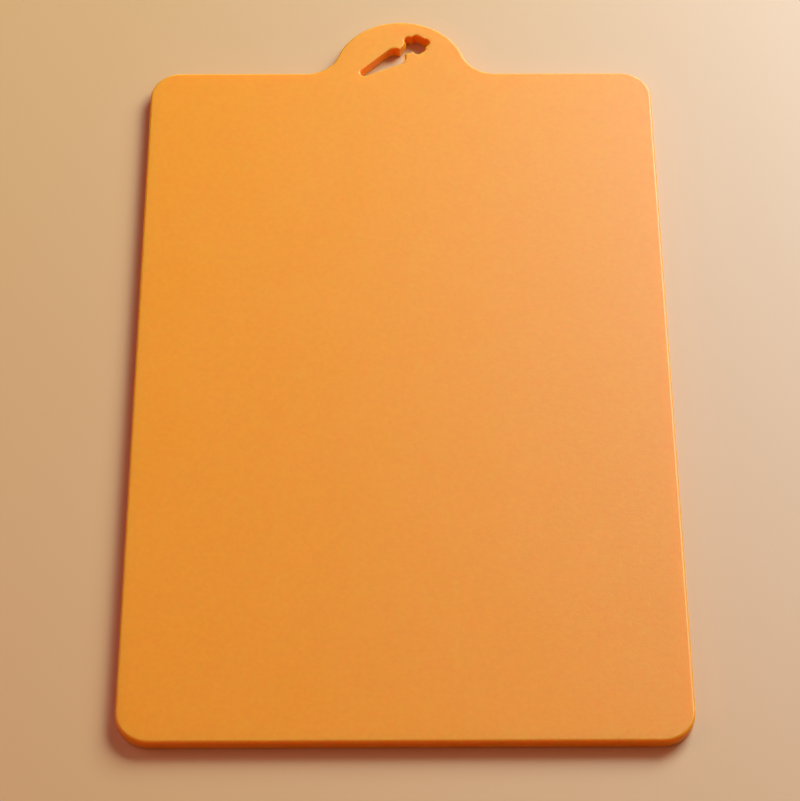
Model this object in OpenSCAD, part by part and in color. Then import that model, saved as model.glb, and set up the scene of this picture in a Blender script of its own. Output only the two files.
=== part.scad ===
/* [Mat] */
// Width of the mat from side to side
mat_w = 250; // [200:1:320]
// Length of the rectangular body, from the front edge to the back edge beside the tab
body_l = 374; // [300:1:460]
// Thickness of the mat
mat_t = 6.4; // [5:0.1:12]
// Radius of the four corners, seen from above
corner_r = 15; // [8:0.5:30]
// Radius of the rounding along the rims of both faces
edge_r = 1.4; // [0.6:0.1:2.4]

/* [Hanging tab] */
// Radius of the round head of the tab
tab_r = 33.5; // [32:0.5:45]
// How far the centre of the round head lies behind the back edge
tab_rise = 0.5; // [0:0.1:6]
// Radius of the hollow curves that lead from the back edge into the tab
hollow_r = 16.82; // [10:0.01:28]

/* [Carrot-shaped hanging hole] */
// Sideways place of the carrot's crown, from the middle of the tab
crown_x = 1.4; // [-2:0.1:3]
// Place of the carrot's crown, behind the centre of the round head
crown_y = 13.3; // [11:0.1:14.5]
// Tilt of the carrot, from straight across the mat
carrot_tilt = 34.3; // [28:0.1:40]
// Length of the root, from its crown to its tip
root_l = 26; // [20:0.1:28]
// Width of the root across its shoulders
root_w = 11; // [10.6:0.1:12.6]
// Radius of the root's two shoulders
shoulder_r = 5.1; // [3:0.1:5.2]
// Radius of the root's tip
tip_r = 2.2; // [1:0.1:3]
// Width of the neck at the crown
neck_w = 3.7; // [2.8:0.1:4.8]
// Width of the neck where it enters the leaves
neck_end_w = 6.1; // [4.9:0.1:7]
// Distance from the crown to the middle of the leaves
leaf_reach = 8.3; // [7.5:0.1:10]
// How far the neck and the leaves lie beside the root's axis
leaf_shift = 0.8; // [-1:0.1:1.5]
// Radius of the round middle of the leaves
leaf_core_r = 5.3; // [4.8:0.1:6]
// Radius of the tip of one leaf
leaf_tip_r = 2.3; // [1.8:0.1:2.8]

/* [Hidden] */
$fn = 128;

// Direction of each leaf's tip from the middle of the leaves, and its distance
leaf_tips = [[159, 4.1], [111, 4.5], [56, 3.6], [-21, 4.5], [-85, 3.8], [-114, 4.4]];

// How far the rims reach in past their rounding, under the flat faces
rim_lap = 1;

// The mat with its tab lies centred on the origin
mat_l = body_l + tab_rise + tab_r;
front_y = -mat_l / 2;
back_y = front_y + body_l;
tab_y = back_y + tab_rise;

// Centres of the rounded corners
corner_x = mat_w / 2 - corner_r;
front_corner_y = front_y + corner_r;
back_corner_y = back_y - corner_r;

// Centre of the right hollow curve, which touches the back edge and the round head
hollow_y = back_y + hollow_r;
hollow_x = sqrt(pow(tab_r + hollow_r, 2) - pow(hollow_y - tab_y, 2));

mat_orange = [0.93, 0.58, 0.22];

// Draws its shape on the right and mirrored on the left
module both_sides() {
    children();
    mirror([1, 0, 0])
        children();
}

// A plan drawn as a prism that passes through both faces
module through_mat() {
    translate([0, 0, -mat_t])
        linear_extrude(3 * mat_t)
            children();
}

// Area between the middle of the tab, a hollow curve's centre and the body
module hollow_area() {
    polygon([
        [0, back_corner_y], [hollow_x, back_corner_y],
        [hollow_x, hollow_y], [0, tab_y]
    ]);
}

// Area of the round head, above the lines to the hollow curves' centres
module head_area() {
    past_y = tab_y + 2 * tab_r;
    polygon([
        [0, tab_y], [hollow_x, hollow_y], [hollow_x, past_y],
        [-hollow_x, past_y], [-hollow_x, hollow_y]
    ]);
}

// Outline of the flat faces, inside the rounded rim
module flat_outline() {
    translate([-corner_x, front_y + edge_r])
        square([2 * corner_x, body_l - 2 * edge_r]);
    translate([edge_r - mat_w / 2, front_corner_y])
        square([mat_w - 2 * edge_r, body_l - 2 * corner_r]);
    both_sides()
        for (y = [front_corner_y, back_corner_y])
            translate([corner_x, y])
                circle(corner_r - edge_r);
    translate([0, tab_y])
        circle(tab_r - edge_r);
    both_sides()
        difference() {
            hollow_area();
            translate([hollow_x, hollow_y])
                circle(hollow_r + edge_r);
        }
}

// Cross-section of the rim, with its outer wall at x = 0 and a lap under the flat faces
module rim_section() {
    translate([-edge_r - rim_lap, 0])
        square([rim_lap, mat_t]);
    translate([-edge_r - rim_lap, edge_r])
        square([edge_r + rim_lap, mat_t - 2 * edge_r]);
    intersection() {
        for (z = [edge_r, mat_t - edge_r])
            translate([-edge_r, z])
                circle(edge_r);
        translate([-edge_r, 0])
            square([edge_r, mat_t]);
    }
}

// A straight stretch of rim along X, with its outer wall on the +Y side
module rim_run(length) {
    rotate([90, 0, 90])
        linear_extrude(length)
            rim_section();
}

// A quarter turn of rim round a corner
module rim_corner(start) {
    rotate(start)
        rotate_extrude(angle = 90)
            translate([corner_r, 0])
                rim_section();
}

module body_rim() {
    translate([corner_x, front_y, 0])
        rotate(180)
            rim_run(2 * corner_x);
    both_sides() {
        translate([mat_w / 2, back_corner_y, 0])
            rotate(-90)
                rim_run(body_l - 2 * corner_r);
        translate([hollow_x, back_y, 0])
            rim_run(corner_x - hollow_x);
        translate([corner_x, back_corner_y, 0])
            rim_corner(0);
        translate([corner_x, front_corner_y, 0])
            rim_corner(-90);
    }
}

module tab_rim() {
    intersection() {
        translate([0, tab_y, 0])
            rotate_extrude()
                translate([tab_r, 0])
                    rim_section();
        through_mat()
            head_area();
    }
    both_sides()
        intersection() {
            translate([hollow_x, hollow_y, 0])
                rotate_extrude()
                    translate([hollow_r, 0])
                        mirror([1, 0])
                            rim_section();
            through_mat()
                hollow_area();
        }
}

// The root is a rounded wedge that points along -X from the crown at the origin
module root_outline() {
    hull() {
        translate([tip_r - root_l, 0])
            circle(tip_r, $fn = 48);
        for (side = [-1, 1])
            translate([-shoulder_r, side * (root_w / 2 - shoulder_r)])
                circle(shoulder_r, $fn = 48);
    }
}

// The neck starts inside the root and widens towards the leaves
module neck_outline() {
    neck_end = leaf_reach - leaf_core_r;
    polygon([
        [-shoulder_r, -neck_w / 2], [0, -neck_w / 2], [neck_end, -neck_end_w / 2],
        [leaf_reach, -neck_end_w / 2], [leaf_reach, neck_end_w / 2],
        [neck_end, neck_end_w / 2], [0, neck_w / 2], [-shoulder_r, neck_w / 2]
    ]);
}

module leaves_outline() {
    circle(leaf_core_r);
    for (tip = leaf_tips)
        rotate(tip[0])
            translate([tip[1], 0])
                circle(leaf_tip_r);
}

module carrot_hole() {
    translate([crown_x, tab_y + crown_y, 0])
        rotate(carrot_tilt)
            through_mat() {
                root_outline();
                translate([0, leaf_shift])
                    neck_outline();
                translate([leaf_reach, leaf_shift])
                    leaves_outline();
            }
}

module cutting_mat() {
    color(mat_orange)
        difference() {
            union() {
                linear_extrude(mat_t)
                    flat_outline();
                body_rim();
                tab_rim();
            }
            carrot_hole();
        }
}

cutting_mat();
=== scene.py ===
# Flexible cutting mat, one soft-plastic sheet with a round hanging tab and a carrot-shaped hole.
import math

import bmesh
import bpy
from mathutils import Matrix, Vector


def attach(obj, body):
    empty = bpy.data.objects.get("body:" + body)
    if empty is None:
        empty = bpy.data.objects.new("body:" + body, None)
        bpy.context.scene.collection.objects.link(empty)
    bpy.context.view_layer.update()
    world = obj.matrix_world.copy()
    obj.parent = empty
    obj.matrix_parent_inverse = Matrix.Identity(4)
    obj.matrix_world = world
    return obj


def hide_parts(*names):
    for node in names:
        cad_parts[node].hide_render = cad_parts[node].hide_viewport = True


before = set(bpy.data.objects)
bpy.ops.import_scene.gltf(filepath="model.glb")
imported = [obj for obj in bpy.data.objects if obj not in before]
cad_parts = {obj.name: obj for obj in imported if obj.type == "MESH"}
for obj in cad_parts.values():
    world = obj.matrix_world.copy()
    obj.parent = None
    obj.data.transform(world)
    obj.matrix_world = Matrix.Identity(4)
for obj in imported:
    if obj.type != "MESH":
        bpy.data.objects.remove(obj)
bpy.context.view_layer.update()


# ---- The mat --------------------------------------------------------------------------------
# The real mat is one moulding of soft orange plastic, 6.4 mm thick, that bends as a whole. Its
# rims are rounded on both faces, its tab runs into the back edge through hollow curves, and the
# hole is moulded through the tab with small rounded rims of its own.
MM = 0.001
MAT_WIDTH = 250 * MM
BODY_LENGTH = 374 * MM
MAT_THICK = 6.4 * MM
CORNER_R = 15 * MM
RIM_R = 1.4 * MM
TAB_R = 33.5 * MM
TAB_RISE = 0.5 * MM
HOLLOW_R = 16.82 * MM

# The mat lies centred on the origin, with its tab at the back
FRONT_Y = -(BODY_LENGTH + TAB_RISE + TAB_R) / 2
BACK_Y = FRONT_Y + BODY_LENGTH
TAB_Y = BACK_Y + TAB_RISE
HOLLOW_Y = BACK_Y + HOLLOW_R
HOLLOW_X = math.sqrt((TAB_R + HOLLOW_R) ** 2 - (HOLLOW_Y - TAB_Y) ** 2)

# Directions from the tab's centre to where the hollow curves meet it, and how far each curve
# turns
TAB_START = math.atan2(HOLLOW_Y - TAB_Y, HOLLOW_X)
TAB_END = math.pi - TAB_START
TAB_TURN = math.pi - 2 * TAB_START
HOLLOW_TURN = math.pi / 2 - TAB_START

CORNER_STEPS = 24
HOLLOW_STEPS = 24
TAB_STEPS = 72
RIM_STEPS = 10

# A point this near to a place is the one meant, and a face is flat if its normal rises above this
NEAR = 0.01 * MM
FLAT_NORMAL = 0.5


def pick(kind, test):
    """Selects only the points, edges or faces of the mesh in edit mode that pass the test."""
    bpy.ops.mesh.select_mode(type=kind)
    bpy.ops.mesh.select_all(action="DESELECT")
    drawn = bmesh.from_edit_mesh(bpy.context.object.data)
    parts = {"VERT": drawn.verts, "EDGE": drawn.edges, "FACE": drawn.faces}[kind]
    for part in parts:
        if test(part):
            part.select_set(True)
    drawn.select_flush_mode()


def is_flat(side):
    """Tells a face that lies flat from a wall."""
    return abs(side.normal.z) > FLAT_NORMAL


def on_rim(line):
    """Tells whether an edge lies between a flat face and a wall."""
    sides = line.link_faces
    return len(sides) == 2 and is_flat(sides[0]) != is_flat(sides[1])


def on_circle(centre, radius, direction):
    """Gives the point of a level circle that lies in a direction from its centre."""
    return centre + radius * Vector((math.cos(direction), math.sin(direction), 0))


def draw_arc(start, centre, turn, steps):
    """Carries the outline on from one of its points along a round curve."""
    pick("VERT", lambda point: (point.co - start).length < NEAR)
    bpy.ops.mesh.spin(steps=steps, angle=-turn, center=centre, axis=(0, 0, 1))


# The body is drawn flat at the height of the cutting face, and its corners are rounded
bpy.ops.object.select_all(action="DESELECT")
bpy.ops.mesh.primitive_plane_add(size=1, location=(0, (FRONT_Y + BACK_Y) / 2, MAT_THICK))
mat = bpy.context.object
mat.name = "mat"
mat.scale = (MAT_WIDTH, BODY_LENGTH, 1)
bpy.ops.object.transform_apply(location=True, rotation=True, scale=True)
bpy.ops.object.mode_set(mode="EDIT")
bpy.ops.mesh.select_all(action="SELECT")
bpy.ops.mesh.bevel(offset=CORNER_R, segments=CORNER_STEPS, profile=0.5, affect="VERTICES")

# The tab's outline starts where the right hollow curve leaves the back edge, and goes round to
# where the left one comes back to it
for hollow_side in (-1, 1):
    bpy.ops.mesh.select_all(action="SELECT")
    bpy.ops.mesh.bisect(plane_co=(hollow_side * HOLLOW_X, 0, 0), plane_no=(1, 0, 0))
hollow_start = Vector((HOLLOW_X, BACK_Y, MAT_THICK))
right_hollow = Vector((HOLLOW_X, HOLLOW_Y, MAT_THICK))
left_hollow = Vector((-HOLLOW_X, HOLLOW_Y, MAT_THICK))
tab_centre = Vector((0, TAB_Y, MAT_THICK))
tab_start = on_circle(tab_centre, TAB_R, TAB_START)
tab_end = on_circle(tab_centre, TAB_R, TAB_END)
draw_arc(hollow_start, right_hollow, -HOLLOW_TURN, HOLLOW_STEPS)
draw_arc(tab_start, tab_centre, TAB_TURN, TAB_STEPS)
draw_arc(tab_end, left_hollow, -HOLLOW_TURN, HOLLOW_STEPS)
bpy.ops.mesh.select_all(action="SELECT")
bpy.ops.mesh.remove_doubles(threshold=NEAR)
pick("VERT", lambda point: point.co.y > BACK_Y - NEAR and abs(point.co.x) < HOLLOW_X + NEAR)
bpy.ops.mesh.edge_face_add()

# The outline is drawn down to the underside, and the rims of both faces are rounded
bpy.ops.mesh.select_all(action="SELECT")
bpy.ops.mesh.extrude_region_move(TRANSFORM_OT_translate={"value": (0, 0, -MAT_THICK)})
bpy.ops.mesh.select_all(action="SELECT")
bpy.ops.mesh.normals_make_consistent(inside=False)
pick("EDGE", on_rim)
bpy.ops.mesh.bevel(
    offset=RIM_R, segments=RIM_STEPS, profile=0.5, affect="EDGES", clamp_overlap=False
)
bpy.ops.object.mode_set(mode="OBJECT")

# The carrot-shaped hole is punched through the tab. Lengths run along the carrot's axis from
# its crown, where the root meets the neck, and each leaf tip has a direction and a distance.
CROWN_X = 1.4 * MM
CROWN_Y = 13.3 * MM
CARROT_TILT = math.radians(34.3)
ROOT_LENGTH = 26 * MM
ROOT_WIDTH = 11 * MM
SHOULDER_R = 5.1 * MM
TIP_R = 2.2 * MM
NECK_WIDTH = 3.7 * MM
NECK_END_WIDTH = 6.1 * MM
LEAF_REACH = 8.3 * MM
LEAF_SHIFT = 0.8 * MM
LEAF_CORE_R = 5.3 * MM
LEAF_TIP_R = 2.3 * MM
LEAF_TIPS = ((159, 4.1), (111, 4.5), (56, 3.6), (-21, 4.5), (-85, 3.8), (-114, 4.4))

# The punch is straight between the hole's rounded rims, and goes on past both faces
HOLE_RIM_R = 0.8 * MM
HOLE_RIM_STEPS = 6
PUNCH_STRAIGHT = MAT_THICK - 2 * HOLE_RIM_R
PUNCH_PAST = 2 * MM
SMALL_POST_FACETS = 48
LEAF_CORE_FACETS = 96

punch_place = Matrix.Translation((CROWN_X, TAB_Y + CROWN_Y, MAT_THICK / 2))
punch_place = punch_place @ Matrix.Rotation(CARROT_TILT, 4, "Z")


def punch_post(x, y, radius, facets):
    """Adds an upright round post of the punch, placed along and beside the carrot's axis."""
    bpy.ops.mesh.primitive_cylinder_add(
        vertices=facets,
        radius=radius,
        depth=PUNCH_STRAIGHT,
        location=punch_place @ Vector((x, y, 0)),
        rotation=(0, 0, CARROT_TILT),
    )
    bpy.ops.object.transform_apply(location=True, rotation=True, scale=True)
    return bpy.context.object


def flare_ends():
    """Opens the punch at both ends, flares its wall by the hole's rims and takes it past the mat."""
    bpy.ops.object.mode_set(mode="EDIT")
    pick("FACE", is_flat)
    bpy.ops.mesh.dissolve_faces()
    pick("FACE", is_flat)
    bpy.ops.mesh.delete(type="ONLY_FACE")
    for way in (-1, 1):
        end_height = (MAT_THICK + way * PUNCH_STRAIGHT) / 2
        pick("EDGE", lambda line: all(abs(point.co.z - end_height) < NEAR for point in line.verts))
        for step in range(HOLE_RIM_STEPS):
            low_turn = math.pi / 2 * step / HOLE_RIM_STEPS
            high_turn = math.pi / 2 * (step + 1) / HOLE_RIM_STEPS
            rise = way * HOLE_RIM_R * (math.sin(high_turn) - math.sin(low_turn))
            spread = HOLE_RIM_R * (math.cos(low_turn) - math.cos(high_turn))
            bpy.ops.mesh.extrude_region_move(TRANSFORM_OT_translate={"value": (0, 0, rise)})
            bpy.ops.transform.shrink_fatten(value=spread, use_even_offset=True)
        bpy.ops.mesh.extrude_region_move(TRANSFORM_OT_translate={"value": (0, 0, way * PUNCH_PAST)})
        bpy.ops.mesh.edge_face_add()
    bpy.ops.mesh.select_all(action="SELECT")
    bpy.ops.mesh.normals_make_consistent(inside=False)
    bpy.ops.object.mode_set(mode="OBJECT")


def punch_through(punch):
    """Cuts the punch out of the mat and throws the punch away."""
    flare_ends()
    cut = mat.modifiers.new("punch", "BOOLEAN")
    cut.operation = "DIFFERENCE"
    cut.solver = "EXACT"
    cut.object = punch
    bpy.context.view_layer.objects.active = mat
    bpy.ops.object.modifier_apply(modifier=cut.name)
    bpy.data.objects.remove(punch)


# The root is a wedge drawn tight round three posts, at its tip and its two shoulders
root_posts = [punch_post(TIP_R - ROOT_LENGTH, 0, TIP_R, SMALL_POST_FACETS)]
for shoulder_side in (-1, 1):
    shoulder_y = shoulder_side * (ROOT_WIDTH / 2 - SHOULDER_R)
    root_posts.append(punch_post(-SHOULDER_R, shoulder_y, SHOULDER_R, SMALL_POST_FACETS))
for post in root_posts:
    post.select_set(True)
bpy.ops.object.join()
root = bpy.context.object
bpy.ops.object.mode_set(mode="EDIT")
bpy.ops.mesh.select_all(action="SELECT")
bpy.ops.mesh.convex_hull()
bpy.ops.object.mode_set(mode="OBJECT")
punch_through(root)

# The neck is a block from inside the root to the middle of the leaves. It is narrow as far as
# the crown, and widens from there to where it enters the leaves.
neck_length = LEAF_REACH + SHOULDER_R
crown_bend = SHOULDER_R - neck_length / 2
leaf_bend = SHOULDER_R + LEAF_REACH - LEAF_CORE_R - neck_length / 2
bpy.ops.mesh.primitive_cube_add(size=1, location=(0, 0, 0))
neck = bpy.context.object
neck.scale = (neck_length, NECK_WIDTH, PUNCH_STRAIGHT)
bpy.ops.object.transform_apply(location=True, rotation=True, scale=True)
bpy.ops.object.mode_set(mode="EDIT")
for neck_bend in (crown_bend, leaf_bend):
    bpy.ops.mesh.select_all(action="SELECT")
    bpy.ops.mesh.bisect(plane_co=(neck_bend, 0, 0), plane_no=(1, 0, 0))
pick("VERT", lambda point: point.co.x > leaf_bend - NEAR)
bpy.ops.transform.resize(value=(1, NECK_END_WIDTH / NECK_WIDTH, 1), center_override=(0, 0, 0))
bpy.ops.object.mode_set(mode="OBJECT")
neck.matrix_world = punch_place @ Matrix.Translation((LEAF_REACH - neck_length / 2, LEAF_SHIFT, 0))
bpy.ops.object.transform_apply(location=True, rotation=True, scale=True)
punch_through(neck)

# The leaves are a round middle with six round tips about it
punch_through(punch_post(LEAF_REACH, LEAF_SHIFT, LEAF_CORE_R, LEAF_CORE_FACETS))
for tip_turn, tip_reach in LEAF_TIPS:
    tip_x = LEAF_REACH + tip_reach * MM * math.cos(math.radians(tip_turn))
    tip_y = LEAF_SHIFT + tip_reach * MM * math.sin(math.radians(tip_turn))
    punch_through(punch_post(tip_x, tip_y, LEAF_TIP_R, SMALL_POST_FACETS))

# Points that the cuts left too close together are merged. The cuts list the points in a new
# order each time, and they are sorted first, so that the mesh is always the same.
MERGE_GAP = 0.02 * MM
bpy.ops.object.select_all(action="DESELECT")
mat.select_set(True)
bpy.context.view_layer.objects.active = mat
bpy.ops.object.mode_set(mode="EDIT")
bpy.ops.mesh.select_all(action="SELECT")
bpy.ops.mesh.sort_elements(type="CURSOR_DISTANCE", elements={"VERT"})
bpy.ops.mesh.remove_doubles(threshold=MERGE_GAP)
bpy.ops.object.mode_set(mode="OBJECT")

# The shading is smooth over the rims, and stays crisp where one leaf meets the next
CRISP_ANGLE = math.radians(40)
bpy.ops.object.shade_smooth_by_angle(angle=CRISP_ANGLE)
evened = mat.modifiers.new("even_shading", "WEIGHTED_NORMAL")
evened.keep_sharp = True
bpy.ops.object.modifier_apply(modifier=evened.name)

# The plastic is dyed right through and lets light in a few millimetres, red furthest, so thin
# rims glow and the deep walls of the hole turn red. Its gloss is soft.
GLOSS = 0.51
GLOSS_TINT = (0.03, 0.54, 1.0, 1)
SCATTER_SHARES = (1.0, 0.42, 0.12)
SCATTER_DEPTH = 6.5 * MM
plastic = bpy.data.materials.new("orange_soft_plastic")
plastic.use_nodes = True
nodes = plastic.node_tree.nodes
links = plastic.node_tree.links
shader = nodes["Principled BSDF"]
shader.inputs["Specular IOR Level"].default_value = GLOSS
shader.inputs["Specular Tint"].default_value = GLOSS_TINT
shader.inputs["Subsurface Weight"].default_value = 1.0
shader.inputs["Subsurface Radius"].default_value = SCATTER_SHARES
shader.inputs["Subsurface Scale"].default_value = SCATTER_DEPTH

# Its finish is a fine moulded grain over slow, faint unevenness. The scales are in bumps a metre.
FINE_SCALE = 1300
FINE_DETAIL = 1
COARSE_SCALE = 420
COARSE_DETAIL = 2
DRIFT_SCALE = 24
DRIFT_DETAIL = 3
NOISE_LOW = 0.3
NOISE_HIGH = 0.7
MIX_SOCKETS = {"FLOAT": (2, 3, 0), "RGBA": (6, 7, 2)}

mat_place = nodes.new("ShaderNodeTexCoord")


def feed(socket, value):
    """Gives a socket a plain value, or links another node's output to it."""
    if isinstance(value, bpy.types.NodeSocket):
        links.new(value, socket)
    else:
        socket.default_value = value


def add_noise(scale, detail):
    """Adds a noise that is fixed to the mat."""
    noise = nodes.new("ShaderNodeTexNoise")
    noise.inputs["Scale"].default_value = scale
    noise.inputs["Detail"].default_value = detail
    links.new(mat_place.outputs["Object"], noise.inputs["Vector"])
    return noise.outputs["Fac"]


def add_span(source, low, high, from_low=NOISE_LOW, from_high=NOISE_HIGH):
    """Spreads the source over the span from low to high."""
    span = nodes.new("ShaderNodeMapRange")
    span.inputs["From Min"].default_value = from_low
    span.inputs["From Max"].default_value = from_high
    span.inputs["To Min"].default_value = low
    span.inputs["To Max"].default_value = high
    links.new(source, span.inputs["Value"])
    return span.outputs["Result"]


def add_mix(kind, factor, low, high, blend="MIX"):
    """Mixes two numbers or two colours. A Mix node has its own sockets for each kind."""
    low_socket, high_socket, result_socket = MIX_SOCKETS[kind]
    mix = nodes.new("ShaderNodeMix")
    mix.data_type = kind
    mix.blend_type = blend
    feed(mix.inputs["Factor"], factor)
    feed(mix.inputs[low_socket], low)
    feed(mix.inputs[high_socket], high)
    return mix.outputs[result_socket]


def add_math(operation, *numbers):
    """Adds one step of arithmetic on one or two numbers."""
    step = nodes.new("ShaderNodeMath")
    step.operation = operation
    for socket, number in zip(step.inputs, numbers):
        feed(socket, number)
    return step.outputs["Value"]


def add_bump(height, strength, depth, over=None):
    """Raises and sinks the surface by a noise, over another bump where one is given."""
    bump = nodes.new("ShaderNodeBump")
    bump.inputs["Strength"].default_value = strength
    bump.inputs["Distance"].default_value = depth
    links.new(height, bump.inputs["Height"])
    if over is not None:
        links.new(over, bump.inputs["Normal"])
    return bump.outputs["Normal"]


fine_grain = add_noise(FINE_SCALE, FINE_DETAIL)
coarse_grain = add_noise(COARSE_SCALE, COARSE_DETAIL)
drift = add_noise(DRIFT_SCALE, DRIFT_DETAIL)

# The orange differs slightly between the grain's hollows and peaks, and drifts over the mat
HOLLOW_ORANGE = (0.965, 0.288, 0.0004, 1)
PEAK_ORANGE = (0.995, 0.306, 0.0006, 1)
DULLED = (0.993, 0.99, 1, 1)
UNDULLED = (1, 1, 1, 1)
grain_colour = add_mix("RGBA", add_span(coarse_grain, 0, 1), HOLLOW_ORANGE, PEAK_ORANGE)
drift_colour = add_mix("RGBA", add_span(drift, 0, 1), DULLED, UNDULLED)
feed(shader.inputs["Base Color"], add_mix("RGBA", 1, grain_colour, drift_colour, "MULTIPLY"))

# The rims and walls are a little smoother from handling. The flat faces lie half the thickness
# from the middle, and the rims and walls lie nearer to it.
SHINY_DRIFT = 0.445
MATT_DRIFT = 0.475
HANDLED_ROUGHNESS = 0.4
HANDLED_BAND = 0.4 * MM
split_place = nodes.new("ShaderNodeSeparateXYZ")
links.new(mat_place.outputs["Object"], split_place.inputs["Vector"])
above_middle = add_math("SUBTRACT", split_place.outputs["Z"], MAT_THICK / 2)
off_middle = add_math("ABSOLUTE", above_middle)
handled = add_span(off_middle, 1, 0, MAT_THICK / 2 - HANDLED_BAND, MAT_THICK / 2)
face_roughness = add_span(drift, SHINY_DRIFT, MATT_DRIFT)
feed(shader.inputs["Roughness"], add_mix("FLOAT", handled, face_roughness, HANDLED_ROUGHNESS))

# Fine pits lie over low waves
PIT_STRENGTH = 0.5
PIT_DEPTH = 0.06 * MM
WAVE_STRENGTH = 0.3
WAVE_DEPTH = 0.12 * MM
pits = add_bump(fine_grain, PIT_STRENGTH, PIT_DEPTH)
waves = add_bump(coarse_grain, WAVE_STRENGTH, WAVE_DEPTH, pits)
feed(shader.inputs["Normal"], waves)
mat.data.materials.clear()
mat.data.materials.append(plastic)

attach(mat, "root")
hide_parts("cutting_mat")


# ---- The table ------------------------------------------------------------------------------
# The mat lies on a plain pale table, which isn't part of the object. It is one smooth board
# with a soft sheen, and it reaches well past the picture.
TABLE_SIZE = 3.2
TABLE_COLOUR = (0.675, 0.34, 0.123, 1)
TABLE_ROUGHNESS = 0.55
TABLE_GLOSS = 1.0
TABLE_GLOSS_TINT = (0.45, 0.53, 1.0, 1)
bpy.ops.object.select_all(action="DESELECT")
bpy.ops.mesh.primitive_plane_add(size=TABLE_SIZE, location=(0, 0, 0))
table = bpy.context.object
table.name = "table"
table_finish = bpy.data.materials.new("pale_table")
table_finish.use_nodes = True
table_shader = table_finish.node_tree.nodes["Principled BSDF"]
table_shader.inputs["Base Color"].default_value = TABLE_COLOUR
table_shader.inputs["Roughness"].default_value = TABLE_ROUGHNESS
table_shader.inputs["Specular IOR Level"].default_value = TABLE_GLOSS
table_shader.inputs["Specular Tint"].default_value = TABLE_GLOSS_TINT
table.data.materials.append(table_finish)


# ---- Light ----------------------------------------------------------------------------------
# Soft daylight falls from a window behind the mat on the right, and throws the shadow to the
# front left. The walls of the room give a little of it back, warmer, from three sides.
def hang_lamp(name, azimuth, elevation, distance, width, height, power, colour):
    """Hangs a wide lamp that faces the mat. Azimuth 0 is behind the mat and 90 is on its right."""
    lamp = bpy.data.lights.new(name, "AREA")
    lamp.shape = "RECTANGLE"
    lamp.size = width
    lamp.size_y = height
    lamp.energy = power
    lamp.color = colour
    holder = bpy.data.objects.new(name, lamp)
    bpy.context.collection.objects.link(holder)
    bearing = math.radians(azimuth)
    climb = math.radians(elevation)
    level = math.cos(climb)
    towards = Vector((math.sin(bearing) * level, math.cos(bearing) * level, math.sin(climb)))
    holder.location = towards * distance
    holder.rotation_euler = holder.location.to_track_quat("Z", "Y").to_euler()


hang_lamp(
    "key", azimuth=37, elevation=33, distance=1.9,
    width=1.2, height=1.0, power=69.5, colour=(0.675, 1.0, 1.0),
)
hang_lamp(
    "right", azimuth=85, elevation=40, distance=1.6,
    width=1.4, height=1.0, power=3.4, colour=(1.0, 0.84, 0.6),
)
hang_lamp(
    "left", azimuth=-75, elevation=45, distance=1.8,
    width=1.4, height=1.0, power=8.4, colour=(1.0, 0.6, 0.6),
)
hang_lamp(
    "front", azimuth=185, elevation=50, distance=1.8,
    width=1.4, height=1.0, power=6.5, colour=(1.0, 0.48, 0.4),
)

# The room gives no light of its own, and only looks pale where the camera sees past the table
ROOM_COLOUR = (0.75, 0.62, 0.48, 1)
world = bpy.data.worlds.new("room")
bpy.context.scene.world = world
world.use_nodes = True
room = world.node_tree.nodes["Background"]
room.inputs["Color"].default_value = ROOM_COLOUR
ray = world.node_tree.nodes.new("ShaderNodeLightPath")
world.node_tree.links.new(ray.outputs["Is Camera Ray"], room.inputs["Strength"])


# ---- Camera ---------------------------------------------------------------------------------
# The camera stands in front of the mat and looks down on it steeply through a long lens, as in
# the photograph. Its target is the point of the table in the middle of the picture.
CAMERA_ELEVATION = math.radians(56.1070)
CAMERA_YAW = math.radians(0.5604)
CAMERA_ROLL = math.radians(0.3084)
CAMERA_DISTANCE = 1284.25 * MM
CAMERA_TARGET = Vector((-1.409, -24.080, 0)) * MM
LENS_LENGTH = 124.074
SENSOR_WIDTH = 36
camera_turn = Matrix.Rotation(-CAMERA_YAW, 4, "Z")
camera_turn = camera_turn @ Matrix.Rotation(math.pi / 2 - CAMERA_ELEVATION, 4, "X")
camera_turn = camera_turn @ Matrix.Rotation(CAMERA_ROLL, 4, "Z")
camera_place = CAMERA_TARGET + camera_turn.to_3x3() @ Vector((0, 0, CAMERA_DISTANCE))
lens = bpy.data.cameras.new("camera")
lens.lens = LENS_LENGTH
lens.sensor_width = SENSOR_WIDTH
camera = bpy.data.objects.new("camera", lens)
bpy.context.collection.objects.link(camera)
camera.matrix_world = Matrix.Translation(camera_place) @ camera_turn
bpy.context.scene.camera = camera
bpy.context.scene.view_settings.view_transform = "Standard"
